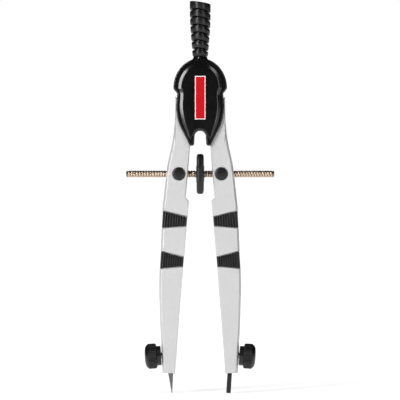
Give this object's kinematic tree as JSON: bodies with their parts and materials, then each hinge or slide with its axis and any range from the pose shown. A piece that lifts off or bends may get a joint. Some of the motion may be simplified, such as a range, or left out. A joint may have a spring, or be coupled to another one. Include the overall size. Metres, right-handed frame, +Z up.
{
  "type": "drawing compass",
  "caption": "Drawing compass with geared legs, a screw spindle with quick-release nuts, a ribbed finger grip, a needle and a lead.",
  "frame": {"origin": "on the handle's axis, at the middle of the finger grip, halfway through the thickness of the legs", "axes": "+Z up along the handle, away from the points; -Y out of the front cover, which carries the badge; +X to the right, on the lead's side, along the spindle"},
  "size_m": [0.0642, 0.0174, 0.1701],
  "materials": {
    "grip_plastic": "moulded, satin black",
    "cover_plastic": "moulded, glossy black",
    "control_plastic": "knurled, satin black",
    "rubber": "ribbed, matt black",
    "leg_metal": "fine-grained silver-grey coating on die-cast aluminium",
    "steel": "turned or stamped",
    "needle_steel": "ground to a point",
    "graphite": "graphite lead, cut to a chisel",
    "spindle_bronze": "rolled thread, bronze coloured",
    "badge": "red, with a pale rim"
  },
  "bodies": {
    "head": {"handle_grip": "grip_plastic", "neck_collar": "cover_plastic", "handle_stem": "steel", "yoke_block": "steel", "front_plate": "steel", "rear_plate": "steel", "front_cover": "cover_plastic", "rear_cover": "cover_plastic", "badge_plate": "badge", "left_pivot_pin": "steel", "right_pivot_pin": "steel", "left_yoke_rivet": "steel", "right_yoke_rivet": "steel", "upper_cover_screw": "steel", "lower_cover_screw": "steel"},
    "left_leg": {"left_leg": "leg_metal", "left_upper_grip": "rubber", "left_lower_grip": "rubber"},
    "right_leg": {"right_leg": "leg_metal", "right_upper_grip": "rubber", "right_lower_grip": "rubber"},
    "left_nut_seat": {"left_spring_cap": "control_plastic", "left_button_spring": "steel"},
    "right_nut_seat": {"right_spring_cap": "control_plastic", "right_button_spring": "steel"},
    "left_button": {"left_release_button": "control_plastic"},
    "right_button": {"right_release_button": "control_plastic"},
    "wheel_bush": {"wheel_hub": "steel"},
    "spindle": {"spindle": "spindle_bronze", "adjusting_wheel": "control_plastic"},
    "left_jaw": {"left_clamp_jaw": "steel"},
    "right_jaw": {"right_clamp_jaw": "steel"},
    "left_knob": {"left_clamp_knob": "control_plastic", "left_clamp_screw": "steel"},
    "right_knob": {"right_clamp_knob": "control_plastic", "right_clamp_screw": "steel"},
    "needle": {"needle": "needle_steel"},
    "lead": {"lead": "graphite"}
  },
  "joints": [
    {"name": "left_leg_opening", "type": "hinge", "parent": "head", "child": "left_leg", "pos_m": [-0.0042, 0, -0.02517], "axis": [0, 1, 0], "range_deg": [-4.8, 33]},
    {"name": "right_leg_opening", "type": "hinge", "parent": "head", "child": "right_leg", "pos_m": [0.0042, 0, -0.02517], "axis": [0, 1, 0], "range_deg": [-33, 4.8]},
    {"name": "left_nut_swivel", "type": "hinge", "parent": "left_leg", "child": "left_nut_seat", "pos_m": [-0.00918, 0, -0.06265], "axis": [0, 1, 0], "range_deg": [-33, 4.8]},
    {"name": "right_nut_swivel", "type": "hinge", "parent": "right_leg", "child": "right_nut_seat", "pos_m": [0.00918, 0, -0.06265], "axis": [0, 1, 0], "range_deg": [-4.8, 33]},
    {"name": "left_button_press", "type": "slide", "parent": "left_nut_seat", "child": "left_button", "axis": [0, 1, 0], "range_m": [0, 0.001], "stiffness_N_per_m": 1000, "deforming": ["left_button_spring"]},
    {"name": "right_button_press", "type": "slide", "parent": "right_nut_seat", "child": "right_button", "axis": [0, 1, 0], "range_m": [0, 0.001], "stiffness_N_per_m": 1000, "deforming": ["right_button_spring"]},
    {"name": "wheel_centring", "type": "slide", "parent": "left_nut_seat", "child": "wheel_bush", "axis": [1, 0, 0], "range_m": [-0.003, 0.02]},
    {"name": "wheel_spin", "type": "hinge", "parent": "wheel_bush", "child": "spindle", "pos_m": [0, 0, -0.06265], "axis": [1, 0, 0], "continuous": true},
    {"name": "left_jaw_slide", "type": "slide", "parent": "left_leg", "child": "left_jaw", "axis": [-0.9979, 0, -0.0645], "range_m": [0, 0.00075]},
    {"name": "right_jaw_slide", "type": "slide", "parent": "right_leg", "child": "right_jaw", "axis": [0.9979, 0, -0.0645], "range_m": [0, 0.00075]},
    {"name": "left_knob_turn", "type": "hinge", "parent": "left_jaw", "child": "left_knob", "pos_m": [-0.01331, 0, -0.14115], "axis": [-0.9979, 0, -0.0645], "range_deg": [0, 540]},
    {"name": "right_knob_turn", "type": "hinge", "parent": "right_jaw", "child": "right_knob", "pos_m": [0.01331, 0, -0.14115], "axis": [0.9979, 0, -0.0645], "range_deg": [0, 540]},
    {"name": "needle_slide", "type": "slide", "parent": "left_leg", "child": "needle", "axis": [0.0645, 0, -0.9979], "range_m": [-0.0015, 0.016]},
    {"name": "lead_slide", "type": "slide", "parent": "right_leg", "child": "lead", "axis": [-0.0645, 0, -0.9979], "range_m": [-0.0015, 0.016]}
  ],
  "couplings": [
    {"joint": "right_leg_opening", "follows": "left_leg_opening", "ratio": -1},
    {"joint": "left_nut_swivel", "follows": "left_leg_opening", "ratio": -1},
    {"joint": "right_nut_swivel", "follows": "left_leg_opening", "ratio": 1},
    {"joint": "wheel_centring", "follows": "left_leg_opening", "m_per_rad": 0.0346},
    {"joint": "left_knob_turn", "follows": "left_jaw_slide", "rad_per_m": 12566},
    {"joint": "right_knob_turn", "follows": "right_jaw_slide", "rad_per_m": 12566}
  ]
}
